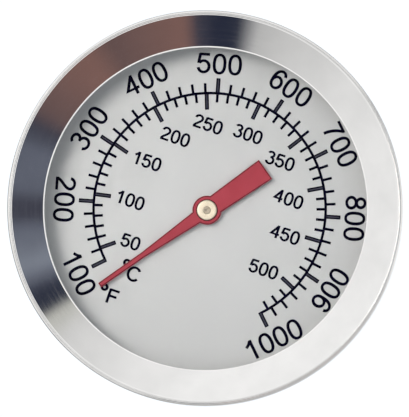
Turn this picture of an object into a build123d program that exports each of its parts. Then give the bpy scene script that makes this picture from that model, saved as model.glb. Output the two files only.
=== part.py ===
"""Bimetal oven thermometer with a crimped 54 mm head, an M8 threaded shank and a 6 mm stem.

Frame: millimetres. The stem's axis is Y and the dial looks towards -Y, +Z being up when it's upright.
The origin is where the stem's axis crosses the panel seat, the collar's rear face that rests on the wall.
Everything in front of the wall has a negative y, and the stem runs into the oven towards +Y.
"Front" is the reader's side, -Y. The profiles of turned pieces are drawn in the XY plane as (radius, y).
"""

from build123d import *

import math
import os

os.makedirs("parts", exist_ok=True)

# ---- driving dimensions ------------------------------------------------------------------------------
HEAD_R = 27.0  # outside of the bezel
WINDOW_R = 22.1  # edge of the bezel around the glass
DISH_FALL = 2.3  # how far the bezel's dish falls from the rolled bead to the window
BEAD_R = 0.5  # the rolled bead around the rim
BEZEL_SHEET = 0.5
CASE_SHEET = 0.6
CASE_WALL_R = 24.9  # outside of the case's side wall
CASE_STEP_R = 20.5  # outside of the smaller step behind the dial
FLANGE_R = 26.35
GLASS_R = 24.0
GLASS_THICK = 2.0
GASKET_THICK = 0.5
DIAL_R = 23.9
DIAL_THICK = 0.5
DIAL_GAP = 2.6  # free height between the dial and the gasket, kept by the spacer ring

POINTER_ANGLE = 233.8  # degrees from +X, counter-clockwise to the reader: the pointer at room temperature
POINTER_THICK = 0.35
POINTER_LIFT = 0.85  # the pointer's underside above the dial
POINTER_REACH = 18.0
POINTER_TAIL = 9.8
POINTER_BOSS_R = 2.0
HUB_DISC_R = 1.36

COLLAR_ACROSS_FLATS = 14.0
COLLAR_THICK = 4.0
SPIGOT_R = 5.0  # the fitting's spigot through the case floor
NECK_R = 4.2  # the shoulder that centres the thermometer in the wall's hole
NECK_LENGTH = 2.0
THREAD_PITCH = 1.25
THREAD_R = 3.94
THREAD_DEPTH = 0.71
THREAD_RUNOUT = 0.8  # from the neck to the middle of the first groove
THREAD_END = 16.0
THREAD_PLAY = 0.1  # axial play on each flank of the nut's thread
FLANK_SLOPE = math.tan(math.radians(30))
TUBE_R = 3.0
TUBE_BORE_R = 2.6
STEM_TIP = 65.0  # from the panel seat to the end of the probe
SPINDLE_R = 0.5
BEARING_BORE_R = 0.55

PANEL_GRIP = 5.0  # from the seat to the plain washer, where the wing nut is stored
WASHER_BORE_R = 4.5
WASHER_R = 8.0
WASHER_THICK = 1.6
SPRING_WASHER_R = 6.35
SPRING_WASHER_THICK = 1.6
NUT_HUB_R = 6.4
NUT_HEIGHT = 6.4
WING_REACH = 14.5
WING_THICK = 2.4

# ---- stations along the axis -------------------------------------------------------------------------
collar_front = -COLLAR_THICK
floor_front = collar_front - CASE_SHEET
dial_back = -7.5
dial_front = dial_back - DIAL_THICK
gasket_back = dial_front - DIAL_GAP
glass_back = gasket_back - GASKET_THICK
glass_front = glass_back - GLASS_THICK
flange_back = glass_back - 0.9
pointer_back = dial_front - POINTER_LIFT
pointer_front = pointer_back - POINTER_THICK
hub_front = pointer_front - 0.4
spindle_front = hub_front - 0.2
washer_back = PANEL_GRIP + WASHER_THICK
nut_front = washer_back + SPRING_WASHER_THICK
nut_back = nut_front + NUT_HEIGHT


def finish(part, name):
    """Labels a finished piece and writes it as the node of that name."""
    part.label = name
    export_step(part, f"parts/{name}.step")


def across(y):
    """The plane across the stem at y, drawn on as the dial's reader sees it: +X right and +Z up."""
    return Plane.XZ.offset(-y)


def along_pointer(y):
    """The plane across the stem at y, with its x axis along the pointer's blade at rest."""
    blade = (math.cos(math.radians(POINTER_ANGLE)), 0, math.sin(math.radians(POINTER_ANGLE)))
    return Plane(origin=(0, y, 0), x_dir=blade, z_dir=(0, -1, 0))


def disc(outer_r, y_front, y_back, bore_r=0.0, mode=Mode.ADD):
    """A disc about the axis between two stations, or a ring where it has a bore."""
    with BuildSketch(across(y_back)) as section:
        Circle(outer_r)
        if bore_r > 0:
            Circle(bore_r, mode=Mode.SUBTRACT)
    extrude(section.sketch, amount=y_back - y_front, mode=mode)


def helix_cut(start_y, length, inner_r, outer_r, inner_width, outer_width):
    """Cuts a right-hand thread's groove: a trapezium between two radii, swept along a helix."""
    depth = outer_r - inner_r
    path = Helix(
        THREAD_PITCH,
        length,
        inner_r + depth / 2,
        center=(0, start_y, 0),
        direction=(0, 1, 0),
        mode=Mode.PRIVATE,
    )
    start = path @ 0
    outwards = Vector(start.X, 0, start.Z)
    with BuildSketch(Plane(origin=start, x_dir=outwards, z_dir=path % 0)) as groove:
        Polygon(
            (-depth / 2, -inner_width / 2),
            (depth / 2, -outer_width / 2),
            (depth / 2, outer_width / 2),
            (-depth / 2, inner_width / 2),
            align=None,
        )
    sweep(groove.sketch, path=path, is_frenet=True, mode=Mode.SUBTRACT)


# ---- the case: a drawn cup with a step whose ledge carries the dial, and a flange for the crimp ------
half_sheet = CASE_SHEET / 2
step_line_r = CASE_STEP_R - half_sheet
wall_line_r = CASE_WALL_R - half_sheet
floor_line_y = collar_front - half_sheet
ledge_line_y = dial_back + half_sheet
flange_line_y = flange_back - half_sheet

with BuildPart() as case_cup:
    with BuildSketch(Plane.XY):
        with BuildLine() as case_line:
            FilletPolyline(
                (SPIGOT_R, floor_line_y),
                (step_line_r, floor_line_y),
                (step_line_r, ledge_line_y),
                (wall_line_r, ledge_line_y),
                (wall_line_r, flange_line_y),
                (FLANGE_R, flange_line_y),
                radius=(1.4, 0.6, 0.6, 0.5),
            )
        trace(case_line.line, line_width=CASE_SHEET)
    revolve(axis=Axis.Y)
finish(case_cup.part, "case_cup")

# ---- the bezel: a hem on the glass, a conical dish up to a rolled bead, and a skirt hooked under the f
BEAD_SWEEP = 140.0  # degrees of the bead that show, from the skirt to the dish
FOOT_R = 23.2
HOOK_R = 25.4
HOOK_ROUND = 0.8
LIP_ROUND = 0.25
lip_front = glass_front - BEZEL_SHEET
bead_centre = (HEAD_R - BEAD_R, lip_front - DISH_FALL + BEAD_R * math.sin(math.radians(180 - BEAD_SWEEP)))
skirt_bore_r = HEAD_R - BEZEL_SHEET
hook_back = flange_back + BEZEL_SHEET
dish_slope = DISH_FALL / (HEAD_R - BEAD_R - WINDOW_R)
dish_drop = BEZEL_SHEET * math.hypot(1, dish_slope)

with BuildPart() as bezel_ring:
    with BuildSketch(Plane.XY) as bezel_section:
        with BuildLine():
            bead = CenterArc(bead_centre, BEAD_R, 0, -BEAD_SWEEP)
            hook_turn = CenterArc((HEAD_R - HOOK_ROUND, hook_back - HOOK_ROUND), HOOK_ROUND, 0, 90)
            Line(bead @ 0, hook_turn @ 0)
            Polyline(
                hook_turn @ 1,
                (HOOK_R, hook_back),
                (HOOK_R, flange_back),
                (skirt_bore_r, flange_back),
                (skirt_bore_r, lip_front + dish_drop - dish_slope * (skirt_bore_r - WINDOW_R)),
                (FOOT_R, lip_front + dish_drop - dish_slope * (FOOT_R - WINDOW_R)),
                (FOOT_R, glass_front),
                (WINDOW_R, glass_front),
                (WINDOW_R, lip_front),
                bead @ 1,
            )
        make_face()
        lip = bezel_section.vertices().sort_by_distance((WINDOW_R, lip_front))[0]
        fillet(lip, radius=LIP_ROUND)
    revolve(axis=Axis.Y)
finish(bezel_ring.part, "bezel_ring")

# ---- what the bezel clamps in the cup: glass, gasket, spacer ring and dial ---------------------------
with BuildPart() as lens_glass:
    disc(GLASS_R, glass_front, glass_back)
    chamfer(lens_glass.edges().filter_by(GeomType.CIRCLE), length=0.2)
finish(lens_glass.part, "lens_glass")

with BuildPart() as lens_gasket:
    disc(GLASS_R, glass_back, gasket_back, bore_r=WINDOW_R + 0.3)
finish(lens_gasket.part, "lens_gasket")

with BuildPart() as spacer_ring:
    disc(DIAL_R, gasket_back, dial_front, bore_r=DIAL_R - 1.0)
    chamfer(spacer_ring.edges().filter_by(GeomType.CIRCLE), length=0.15)
finish(spacer_ring.part, "spacer_ring")

DIAL_HOLE_R = 1.8
with BuildPart() as dial_plate:
    disc(DIAL_R, dial_front, dial_back, bore_r=DIAL_HOLE_R)
finish(dial_plate.part, "dial_plate")

# ---- the shank fitting: staked spigot, hex collar, plain neck, M8 thread and a spigot for the tube ---
BACKING_WASHER_THICK = 0.8
STAKE_R = 5.9
STAKE_THICK = 0.6
FITTING_BORE_R = 1.6
BEARING_R = 2.2
BEARING_DEPTH = 3.0
TUBE_SPIGOT_LENGTH = 4.0
stake_back = floor_front - BACKING_WASHER_THICK
stake_front = stake_back - STAKE_THICK
thread_start = NECK_LENGTH + THREAD_RUNOUT
thread_root_r = THREAD_R - THREAD_DEPTH
crest_width = THREAD_PITCH / 8
root_width = crest_width + 2 * THREAD_DEPTH * FLANK_SLOPE

with BuildPart() as shank_fitting:
    disc(THREAD_R, NECK_LENGTH, THREAD_END)
    helix_cut(
        thread_start,
        THREAD_END + THREAD_PITCH - thread_start,
        thread_root_r,
        THREAD_R + 0.05,
        THREAD_PITCH - root_width,
        THREAD_PITCH - crest_width,
    )
    with BuildSketch(Plane.XY):
        Polygon(
            (THREAD_R + 0.1, THREAD_END - THREAD_DEPTH),
            (THREAD_R + 0.1, THREAD_END + 0.1),
            (thread_root_r, THREAD_END + 0.1),
            align=None,
        )
    revolve(axis=Axis.Y, mode=Mode.SUBTRACT)
    disc(NECK_R, 0, NECK_LENGTH)
    with BuildSketch(across(0)):
        RegularPolygon(COLLAR_ACROSS_FLATS / 2, 6, major_radius=False, rotation=0)
    extrude(amount=COLLAR_THICK)
    collar_corners = shank_fitting.edges().filter_by(Axis.Y)
    fillet(collar_corners, radius=0.4)
    disc(SPIGOT_R, stake_front, collar_front)
    disc(STAKE_R, stake_front, stake_back)
    disc(TUBE_BORE_R, THREAD_END, THREAD_END + TUBE_SPIGOT_LENGTH)
    disc(FITTING_BORE_R, stake_front, THREAD_END + TUBE_SPIGOT_LENGTH, mode=Mode.SUBTRACT)
    disc(BEARING_R, stake_front, stake_front + BEARING_DEPTH, mode=Mode.SUBTRACT)
finish(shank_fitting.part, "shank_fitting")

with BuildPart() as backing_washer:
    disc(STAKE_R + 1.4, stake_back, floor_front, bore_r=SPIGOT_R)
finish(backing_washer.part, "backing_washer")

# ---- the stem: a thin tube over the fitting's spigot, closed by a domed plug -------------------------
PLUG_HEAD = 1.2
PLUG_LENGTH = 2.0
PLUG_STUB_LENGTH = 2.6
COIL_OUTER_R = 2.1
COIL_STRIP = 0.3
COIL_WIDTH = 1.5
COIL_PITCH = 2.0
coil_bore_r = COIL_OUTER_R - COIL_STRIP
tube_end = STEM_TIP - PLUG_HEAD
plug_front = tube_end - PLUG_LENGTH
stub_front = plug_front - PLUG_STUB_LENGTH

with BuildPart() as stem_tube:
    disc(TUBE_R, THREAD_END, tube_end, bore_r=TUBE_BORE_R)
finish(stem_tube.part, "stem_tube")

with BuildPart() as tip_plug:
    disc(TUBE_R, tube_end, STEM_TIP)
    nose = tip_plug.edges().filter_by(GeomType.CIRCLE).sort_by(Axis.Y)[-1]
    fillet(nose, radius=PLUG_HEAD - 0.1)
    disc(TUBE_BORE_R, plug_front, tube_end)
    disc(coil_bore_r, stub_front, plug_front)
finish(tip_plug.part, "tip_plug")

# ---- the movement: the bimetal helix, its collar on the spindle, two guides, a thrust collar and the h
LOWER_GUIDE_Y = 28.0
GUIDE_THICK = 2.5
COLLAR_BACK_Y = 37.0
COIL_COLLAR_THICK = 2.5
THRUST_R = 1.4

with BuildPart() as upper_bearing:
    disc(BEARING_R, stake_front, stake_front + BEARING_DEPTH, bore_r=BEARING_BORE_R)
    disc(BEARING_R + 0.8, stake_front - 0.3, stake_front, bore_r=BEARING_BORE_R)
finish(upper_bearing.part, "upper_bearing")

with BuildPart() as lower_bearing:
    disc(TUBE_BORE_R, LOWER_GUIDE_Y, LOWER_GUIDE_Y + GUIDE_THICK, bore_r=BEARING_BORE_R)
finish(lower_bearing.part, "lower_bearing")

with BuildPart() as spindle:
    disc(SPINDLE_R, spindle_front, COLLAR_BACK_Y)
    with BuildSketch(along_pointer(spindle_front)):
        Rectangle(2 * SPINDLE_R, 0.25)
    extrude(amount=-0.2, mode=Mode.SUBTRACT)
finish(spindle.part, "spindle")

with BuildPart() as coil_collar:
    disc(COIL_OUTER_R, COLLAR_BACK_Y - COIL_COLLAR_THICK, COLLAR_BACK_Y, bore_r=SPINDLE_R)
finish(coil_collar.part, "coil_collar")

with BuildPart() as thrust_collar:
    disc(THRUST_R, stake_front - 0.3 - 0.15 - 0.6, stake_front - 0.3 - 0.15, bore_r=SPINDLE_R)
finish(thrust_collar.part, "thrust_collar")

coil_start = COLLAR_BACK_Y + COIL_WIDTH / 2 + 0.05
coil_end = plug_front - COIL_WIDTH / 2 - 0.05
coil_line_r = (coil_bore_r + COIL_OUTER_R) / 2
with BuildPart() as bimetal_coil:
    coil_path = Helix(
        COIL_PITCH,
        coil_end - coil_start,
        coil_line_r,
        center=(0, coil_start, 0),
        direction=(0, 1, 0),
        mode=Mode.PRIVATE,
    )
    coil_outwards = Vector((coil_path @ 0).X, 0, (coil_path @ 0).Z).normalized()
    with BuildSketch(Plane(origin=coil_path @ 0, x_dir=coil_outwards, z_dir=coil_path % 0)):
        Rectangle(COIL_STRIP, COIL_WIDTH)
    sweep(path=coil_path, is_frenet=True)
finish(bimetal_coil.part, "bimetal_coil")

HUB_SLEEVE_R = 1.2
HUB_RIVET_R = 0.9
hub_back = dial_front + 0.3
with BuildPart() as pointer_hub:
    disc(HUB_SLEEVE_R, pointer_back, hub_back, bore_r=SPINDLE_R)
    disc(HUB_RIVET_R, pointer_front, pointer_back, bore_r=SPINDLE_R)
    disc(HUB_DISC_R, hub_front, pointer_front, bore_r=SPINDLE_R)
    front_circles = pointer_hub.edges().filter_by(GeomType.CIRCLE).sort_by(Axis.Y)[0:2]
    hub_rim = front_circles.sort_by(SortBy.RADIUS)[-1]
    fillet(hub_rim, radius=0.15)
finish(pointer_hub.part, "pointer_hub")

# ---- the pointer: a boss, a tapering blade to a blunt tip and a flaring tail -------------------------
BLADE_ROOT = 1.94
BLADE_NECK = 0.8  # the blade's width from two thirds of the way out
BLADE_NECK_AT = 10.6
BLADE_TIP = 0.72
TAIL_ROOT = 2.7
TAIL_END = 3.2

with BuildPart() as pointer:
    with BuildSketch(along_pointer(pointer_back)) as pointer_plan:
        Polygon(
            (0, -BLADE_ROOT / 2),
            (BLADE_NECK_AT, -BLADE_NECK / 2),
            (POINTER_REACH, -BLADE_TIP / 2),
            (POINTER_REACH, BLADE_TIP / 2),
            (BLADE_NECK_AT, BLADE_NECK / 2),
            (0, BLADE_ROOT / 2),
            (0, TAIL_ROOT / 2),
            (-POINTER_TAIL, TAIL_END / 2),
            (-POINTER_TAIL, -TAIL_END / 2),
            (0, -TAIL_ROOT / 2),
            align=None,
        )
        Circle(POINTER_BOSS_R)
        Circle(HUB_RIVET_R, mode=Mode.SUBTRACT)
    extrude(amount=POINTER_THICK)
finish(pointer.part, "pointer")

# ---- what clamps the thermometer in the wall: plain washer, spring washer and wing nut ---------------
with BuildPart() as plain_washer:
    disc(WASHER_R, PANEL_GRIP, washer_back, bore_r=WASHER_BORE_R)
    chamfer(plain_washer.edges().filter_by(GeomType.CIRCLE).sort_by(SortBy.RADIUS)[-2:], length=0.2)
finish(plain_washer.part, "plain_washer")

SPLIT_WIDTH = 0.9
with BuildPart() as spring_washer:
    disc(SPRING_WASHER_R, washer_back, nut_front, bore_r=WASHER_BORE_R)
    split_plane = Plane.XY.offset(WASHER_BORE_R / 2)
    with BuildSketch(split_plane):
        with Locations((0, (washer_back + nut_front) / 2)):
            Rectangle(SPLIT_WIDTH, 4 * SPRING_WASHER_THICK, rotation=-20)
    extrude(amount=SPRING_WASHER_R, mode=Mode.SUBTRACT)
finish(spring_washer.part, "spring_washer")

NUT_TOP_R = 5.3
NUT_MINOR_R = 3.45
nut_groove_inner_r = NUT_MINOR_R - 0.15
nut_groove_outer_r = THREAD_R + 0.12
nut_groove_start = thread_start + THREAD_PITCH * 3.5


def ridge_width(radius):
    """The width of the shank's thread ridge at a radius."""
    return crest_width + 2 * (THREAD_R - radius) * FLANK_SLOPE


with BuildPart() as wing_nut:
    with BuildSketch(Plane.XY):
        Polygon((0, nut_front), (NUT_HUB_R, nut_front), (NUT_TOP_R, nut_back), (0, nut_back), align=None)
    revolve(axis=Axis.Y)
    with BuildSketch(Plane.XY) as wing:
        with BuildLine():
            Polyline(
                (NUT_MINOR_R, nut_front + 0.6),
                (NUT_HUB_R + 1.2, nut_front + 1.4),
                (WING_REACH, nut_front + 7.6),
                (WING_REACH - 1.0, nut_front + 12.0),
                (WING_REACH - 5.0, nut_front + 12.0),
                (NUT_TOP_R, nut_back - 0.2),
                (NUT_MINOR_R, nut_back - 0.4),
                close=True,
            )
        make_face()
        tip_corners = wing.vertices().sort_by(Axis.Y)[-2:]
        fillet(tip_corners, radius=1.9)
    extrude(amount=WING_THICK / 2, both=True)
    mirror(about=Plane.YZ)
    disc(NUT_MINOR_R, nut_front, nut_back, mode=Mode.SUBTRACT)
    nut_circles = wing_nut.edges().filter_by(GeomType.CIRCLE)
    mouths = nut_circles.filter_by(lambda edge: abs(edge.radius - NUT_MINOR_R) < 0.01)
    chamfer(mouths, length=0.6)
    helix_cut(
        nut_groove_start,
        NUT_HEIGHT + THREAD_PITCH,
        nut_groove_inner_r,
        nut_groove_outer_r,
        ridge_width(nut_groove_inner_r) + 2 * THREAD_PLAY,
        ridge_width(nut_groove_outer_r) + 2 * THREAD_PLAY,
    )
finish(wing_nut.part, "wing_nut")
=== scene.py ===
"""Looks of the oven thermometer: its polished bezel, printed dial, pointer, stem and clamping hardware.

Blender's unit is the metre. Shapes are drawn in millimetres and scaled by MM when their mesh is made.
The stem's axis is Y, the reader stands on the -Y side, and +Z is up on the dial.
A turned piece's outline is a list of (radius, y) points. A flat piece's plan is a list of (x, z) points.
"""

import math

import bmesh
import bpy
from mathutils import Matrix, Vector


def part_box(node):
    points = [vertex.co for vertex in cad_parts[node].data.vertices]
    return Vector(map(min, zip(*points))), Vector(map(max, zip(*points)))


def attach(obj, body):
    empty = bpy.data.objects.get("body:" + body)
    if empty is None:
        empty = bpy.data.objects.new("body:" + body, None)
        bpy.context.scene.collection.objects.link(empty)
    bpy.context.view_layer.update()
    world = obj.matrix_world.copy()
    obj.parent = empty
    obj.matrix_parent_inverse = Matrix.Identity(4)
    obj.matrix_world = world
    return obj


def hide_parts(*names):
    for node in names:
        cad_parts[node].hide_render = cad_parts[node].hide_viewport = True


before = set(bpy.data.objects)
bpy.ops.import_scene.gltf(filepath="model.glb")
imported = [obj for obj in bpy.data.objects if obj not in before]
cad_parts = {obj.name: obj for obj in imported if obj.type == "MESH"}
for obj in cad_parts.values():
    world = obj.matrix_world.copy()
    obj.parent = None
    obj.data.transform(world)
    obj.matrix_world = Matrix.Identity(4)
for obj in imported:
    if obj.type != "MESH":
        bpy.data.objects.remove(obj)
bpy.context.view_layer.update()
MM = 0.001

# ---- stations from the frame, in millimetres ----


def front_of(node):
    """A node's face towards the reader."""
    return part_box(node)[0].y / MM


def back_of(node):
    """A node's face towards the oven."""
    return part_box(node)[1].y / MM


def radius_of(node):
    """A turned node's largest radius."""
    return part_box(node)[1].x / MM


head_r = radius_of("bezel_ring")
bezel_front = front_of("bezel_ring")
bezel_back = back_of("bezel_ring")
glass_front = front_of("lens_glass")
dial_front = front_of("dial_plate")
dial_back = back_of("dial_plate")
pointer_front = front_of("pointer")
pointer_back = back_of("pointer")
hub_front = front_of("pointer_hub")
hub_back = back_of("pointer_hub")

# ---- mesh helpers ----


def make_object(name, points, faces, smooth_angle=35):
    """An object from points in millimetres, normals outward. Edges past smooth_angle stay sharp."""
    mesh = bpy.data.meshes.new(name)
    mesh.from_pydata([Vector(p) * MM for p in points], [], faces)
    work = bmesh.new()
    work.from_mesh(mesh)
    bmesh.ops.recalc_face_normals(work, faces=work.faces)
    work.to_mesh(mesh)
    work.free()
    mesh.shade_smooth()
    mesh.set_sharp_from_angle(angle=math.radians(smooth_angle))
    piece = bpy.data.objects.new(name, mesh)
    bpy.context.scene.collection.objects.link(piece)
    return piece


def dress(piece, material, body, slot, *replaced):
    """Gives a piece its material and body, and hides the CAD nodes it stands for. Its slot is not used."""
    piece.data.materials.append(material)
    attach(piece, body)
    if replaced:
        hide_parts(*replaced)
    return piece


def rounded(corners, steps=8):
    """A closed outline from (r, y, rounding) corners, each rounded corner becoming an arc."""
    outline = []
    count = len(corners)
    for index, (r, y, rounding) in enumerate(corners):
        corner = Vector((r, y))
        if rounding == 0:
            outline.append(corner)
            continue
        before = (Vector(corners[index - 1][:2]) - corner).normalized()
        after = (Vector(corners[(index + 1) % count][:2]) - corner).normalized()
        half = before.angle(after) / 2
        reach = rounding / math.tan(half)
        centre = corner + (before + after).normalized() * rounding / math.sin(half)
        first = corner + before * reach - centre
        last = corner + after * reach - centre
        turn = first.angle_signed(last)
        for step in range(steps + 1):
            outline.append(centre + Matrix.Rotation(-turn * step / steps, 2) @ first)
    return outline


def lathe(name, outline, steps=192):
    """A turned piece: the closed outline of (r, y) points revolved about the stem's axis."""
    points = []
    rings = []
    for r, y in outline:
        if r < 1e-6:
            rings.append([len(points)] * steps)
            points.append((0, y, 0))
            continue
        rings.append(list(range(len(points), len(points) + steps)))
        for step in range(steps):
            angle = 2 * math.pi * step / steps
            points.append((r * math.cos(angle), y, r * math.sin(angle)))
    faces = []
    for index, ring in enumerate(rings):
        following = rings[(index + 1) % len(rings)]
        if ring[0] == ring[1] and following[0] == following[1]:
            continue
        for step in range(steps):
            after = (step + 1) % steps
            corners = [ring[step], ring[after], following[after], following[step]]
            faces.append(list(dict.fromkeys(corners)))
    return make_object(name, points, faces)


def arc(centre, radii, start, end, steps=24):
    """Points on an ellipse's arc, its angles in degrees."""
    points = []
    for step in range(steps + 1):
        angle = math.radians(start + (end - start) * step / steps)
        points.append((centre[0] + radii[0] * math.cos(angle), centre[1] + radii[1] * math.sin(angle)))
    return points


def bezier(a, b, c, d, steps=12):
    """Points on a cubic Bezier curve."""
    points = []
    for step in range(steps + 1):
        t = step / steps
        s = 1 - t
        weights = (s * s * s, 3 * s * s * t, 3 * s * t * t, t * t * t)
        points.append(tuple(sum(w * p[k] for w, p in zip(weights, (a, b, c, d))) for k in (0, 1)))
    return points


# ---- material helpers ----
NOISE_LOW = 0.3
NOISE_HIGH = 0.7


class Surface:
    """A Principled material whose colour, roughness and bump come from procedural textures."""

    def __init__(self, name, metallic, **sockets):
        self.material = bpy.data.materials.new(name)
        self.material.use_nodes = True
        self.tree = self.material.node_tree
        self.shader = self.tree.nodes["Principled BSDF"]
        self.shader.inputs["Metallic"].default_value = metallic
        for socket, value in sockets.items():
            self.shader.inputs[socket.replace("_", " ")].default_value = value
        self.place = self.node("ShaderNodeTexCoord").outputs["Object"]
        self.last_bump = None

    def node(self, kind, **inputs):
        made = self.tree.nodes.new(kind)
        for socket, value in inputs.items():
            target = made.inputs[socket.replace("_", " ")]
            if isinstance(value, bpy.types.NodeSocket):
                self.tree.links.new(value, target)
            else:
                target.default_value = value
        return made

    def stretched(self, scale):
        """The place on the object, stretched per axis, so that a texture on it becomes streaks."""
        return self.node("ShaderNodeMapping", Vector=self.place, Scale=scale).outputs["Vector"]

    def turned(self, across, along):
        """Rings about the stem's axis, as a lathe leaves them: fine across the radius and along the axis."""
        parts = self.node("ShaderNodeSeparateXYZ", Vector=self.place)
        flat = self.node("ShaderNodeCombineXYZ", X=parts.outputs["X"], Y=parts.outputs["Z"])
        length = self.node("ShaderNodeVectorMath", Vector=flat.outputs["Vector"])
        length.operation = "LENGTH"
        rings = self.node("ShaderNodeCombineXYZ", X=length.outputs["Value"], Y=parts.outputs["Y"])
        scale = (across, along, 1)
        return self.node("ShaderNodeMapping", Vector=rings.outputs["Vector"], Scale=scale).outputs["Vector"]

    def noise(self, scale, place=None, detail=3.0, roughness=0.55):
        """A noise texture's value. Most of it lies between NOISE_LOW and NOISE_HIGH."""
        made = self.node("ShaderNodeTexNoise", Scale=scale, Detail=detail, Roughness=roughness)
        self.tree.links.new(place or self.place, made.inputs["Vector"])
        return made.outputs["Fac"]

    def colour(self, source, *stops):
        """Colours over a texture's value: stops are (value, (r, g, b)) in linear light."""
        ramp = self.node("ShaderNodeValToRGB", Fac=source)
        paint_ramp(ramp.color_ramp, stops)
        self.tree.links.new(ramp.outputs["Color"], self.shader.inputs["Base Color"])

    def rough(self, source, low, high):
        """Roughness from low to high over a noise's usual values."""
        spread = self.node("ShaderNodeMapRange", Value=source, To_Min=low, To_Max=high)
        spread.inputs["From Min"].default_value = NOISE_LOW
        spread.inputs["From Max"].default_value = NOISE_HIGH
        self.tree.links.new(spread.outputs["Result"], self.shader.inputs["Roughness"])

    def bump(self, source, depth_mm, strength=1.0):
        """Relief from a texture, on top of any relief already there."""
        made = self.node("ShaderNodeBump", Height=source, Distance=depth_mm * MM, Strength=strength)
        if self.last_bump:
            self.tree.links.new(self.last_bump, made.inputs["Normal"])
        self.last_bump = made.outputs["Normal"]
        self.tree.links.new(self.last_bump, self.shader.inputs["Normal"])


def paint_ramp(ramp, stops):
    """Fills a colour ramp with (place, (r, g, b)) stops."""
    ramp.elements[0].position = stops[0][0]
    ramp.elements[0].color = (*stops[0][1], 1)
    ramp.elements[1].position = stops[-1][0]
    ramp.elements[1].color = (*stops[-1][1], 1)
    for place, colour in stops[1:-1]:
        ramp.elements.new(place).color = (*colour, 1)


def grey(value):
    return (value, value, value)


def polished_steel():
    surface = Surface("polished_steel", 1.0)
    rings = surface.noise(1.0, surface.turned(9000, 2500), detail=2)
    haze = surface.noise(180)
    surface.colour(haze, (0.3, (0.82, 0.815, 0.805)), (0.7, (0.885, 0.878, 0.868)))
    surface.rough(rings, 0.05, 0.13)
    surface.bump(rings, 0.0016, 0.5)
    return surface.material


def drawn_steel():
    surface = Surface("drawn_steel", 1.0)
    rings = surface.noise(1.0, surface.turned(3500, 1200), detail=4)
    haze = surface.noise(220, detail=5)
    surface.colour(haze, (0.3, (0.50, 0.51, 0.53)), (0.7, (0.64, 0.645, 0.66)))
    surface.rough(rings, 0.22, 0.40)
    surface.bump(rings, 0.006, 0.6)
    surface.bump(surface.noise(900), 0.004, 0.5)
    return surface.material


def turned_steel():
    surface = Surface("turned_steel", 1.0)
    rings = surface.noise(1.0, surface.turned(5000, 5000), detail=3)
    surface.colour(surface.noise(260), (0.3, (0.56, 0.565, 0.58)), (0.7, (0.68, 0.68, 0.69)))
    surface.rough(rings, 0.14, 0.32)
    surface.bump(rings, 0.005, 0.6)
    return surface.material


def ground_stem_steel():
    surface = Surface("ground_stem_steel", 1.0)
    rings = surface.noise(1.0, surface.turned(900, 1600), detail=2)
    tint = surface.noise(1.0, surface.stretched((120, 30, 120)), detail=3)
    surface.colour(tint, (0.3, (0.62, 0.62, 0.63)), (0.75, (0.71, 0.71, 0.705)))
    surface.rough(rings, 0.17, 0.26)
    surface.bump(rings, 0.0015, 0.3)
    return surface.material


def zinc_plate():
    surface = Surface("zinc_plate", 1.0)
    patches = surface.noise(420, detail=5, roughness=0.65)
    surface.colour(patches, (0.3, (0.48, 0.50, 0.53)), (0.5, (0.60, 0.62, 0.64)), (0.7, (0.66, 0.66, 0.64)))
    surface.rough(surface.noise(700), 0.24, 0.42)
    surface.bump(surface.noise(1500, detail=5), 0.01, 0.7)
    return surface.material


def bronze():
    surface = Surface("bearing_bronze", 1.0)
    surface.colour(surface.noise(500), (0.3, (0.42, 0.25, 0.10)), (0.7, (0.56, 0.36, 0.17)))
    surface.rough(surface.noise(900), 0.28, 0.45)
    surface.bump(surface.noise(1.0, surface.turned(4000, 4000)), 0.004, 0.6)
    return surface.material


def bimetal():
    surface = Surface("bimetal_strip", 1.0)
    surface.colour(surface.noise(350), (0.3, (0.36, 0.33, 0.29)), (0.7, (0.50, 0.46, 0.40)))
    surface.rough(surface.noise(1200), 0.30, 0.50)
    surface.bump(surface.noise(1.0, surface.turned(3000, 6000)), 0.004, 0.6)
    return surface.material


def spindle_steel():
    surface = Surface("spindle_steel", 0.35)
    surface.colour(surface.noise(800), (0.3, (0.32, 0.27, 0.21)), (0.7, (0.46, 0.40, 0.32)))
    surface.rough(surface.noise(1500), 0.25, 0.40)
    surface.bump(surface.noise(1.0, surface.turned(5000, 5000)), 0.003, 0.6)
    return surface.material


def hub_metal():
    surface = Surface("hub_nickel", 0.35)
    surface.colour(surface.noise(900), (0.3, (0.66, 0.57, 0.44)), (0.7, (0.80, 0.70, 0.56)))
    surface.rough(surface.noise(1500), 0.30, 0.42)
    surface.bump(surface.noise(1.0, surface.turned(5000, 5000)), 0.004, 0.6)
    return surface.material


def silvered_dial():
    surface = Surface("silvered_dial", 0.45)
    grain = surface.noise(1.0, surface.stretched((1600, 900, 260)), detail=5, roughness=0.7)
    cloud = surface.noise(60)
    surface.colour(cloud, (0.3, (0.462, 0.464, 0.472)), (0.7, (0.498, 0.500, 0.510)))
    surface.rough(grain, 0.42, 0.55)
    surface.bump(grain, 0.006, 0.5)
    return surface.material


def printed_ink():
    surface = Surface("printed_ink", 0.0, Specular_IOR_Level=0.0)
    surface.colour(surface.noise(1500), (0.3, (0.0010, 0.0008, 0.007)), (0.7, (0.0022, 0.0018, 0.014)))
    surface.rough(surface.noise(2500), 0.38, 0.55)
    surface.bump(surface.noise(4000), 0.004, 0.5)
    return surface.material


def tick_ink():
    surface = Surface("tick_ink", 0.0, Specular_IOR_Level=0.15)
    surface.colour(surface.noise(1500), (0.3, (0.026, 0.025, 0.042)), (0.7, (0.036, 0.035, 0.056)))
    surface.rough(surface.noise(2500), 0.35, 0.50)
    surface.bump(surface.noise(4000), 0.004, 0.5)
    return surface.material


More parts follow.
